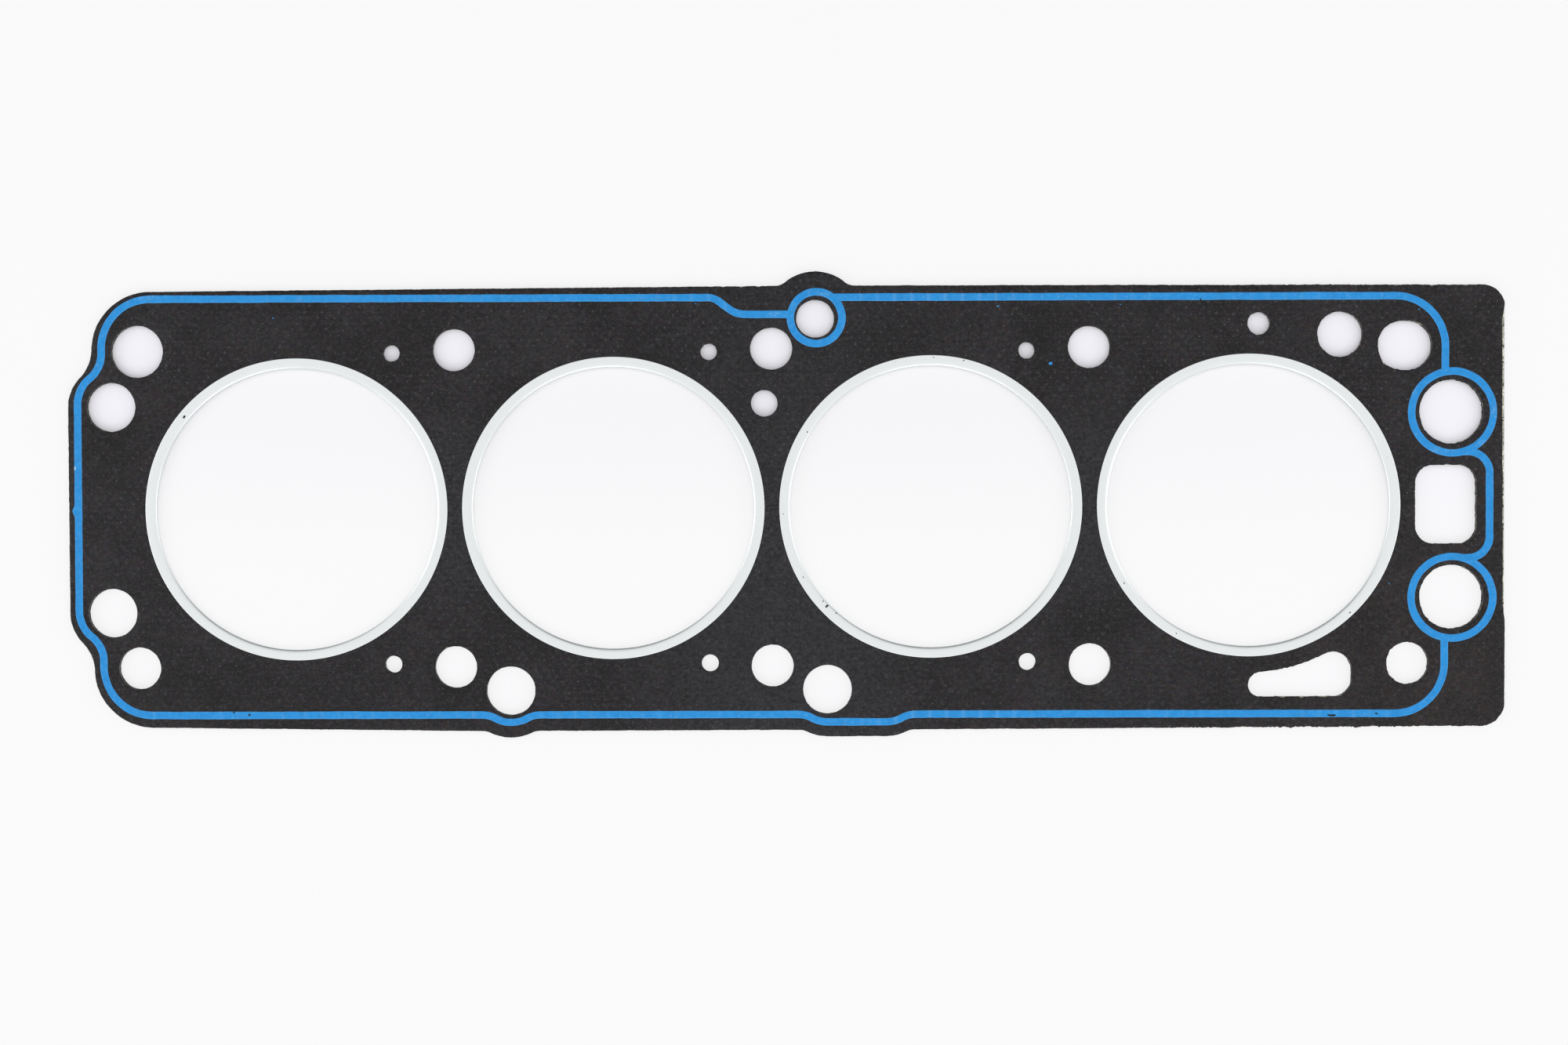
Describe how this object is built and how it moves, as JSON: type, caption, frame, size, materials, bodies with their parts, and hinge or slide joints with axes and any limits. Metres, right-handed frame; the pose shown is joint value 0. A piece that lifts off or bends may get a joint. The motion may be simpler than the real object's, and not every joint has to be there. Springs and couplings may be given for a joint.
{
  "type": "cylinder head gasket",
  "caption": "Flat composite head gasket for an in-line engine: steel core between fibre facings, folded steel fire rings round the cylinder openings, printed sealing bead on each face.",
  "frame": {"origin": "the middle of the head bolt pattern, on the face that lies on the cylinder block", "axes": "+X along the engine towards the wide end with the rectangular window, +Y across the engine towards the row with the dowel holes, +Z from the block towards the head"},
  "size_m": [0.4207, 0.1363, 0.0016],
  "materials": {
    "core_steel": "plain cold rolled sheet",
    "fibre_facing": "dark graphite-filled fibre, matt",
    "ring_steel": "bright satin sheet",
    "silicone_bead": "blue, soft sheen"
  },
  "bodies": {
    "root": {"steel_core": "core_steel", "head_facing": "fibre_facing", "block_facing": "fibre_facing", "fire_ring_1": "ring_steel", "fire_ring_2": "ring_steel", "fire_ring_3": "ring_steel", "fire_ring_4": "ring_steel", "head_sealing_bead": "silicone_bead", "block_sealing_bead": "silicone_bead"}
  },
  "joints": []
}
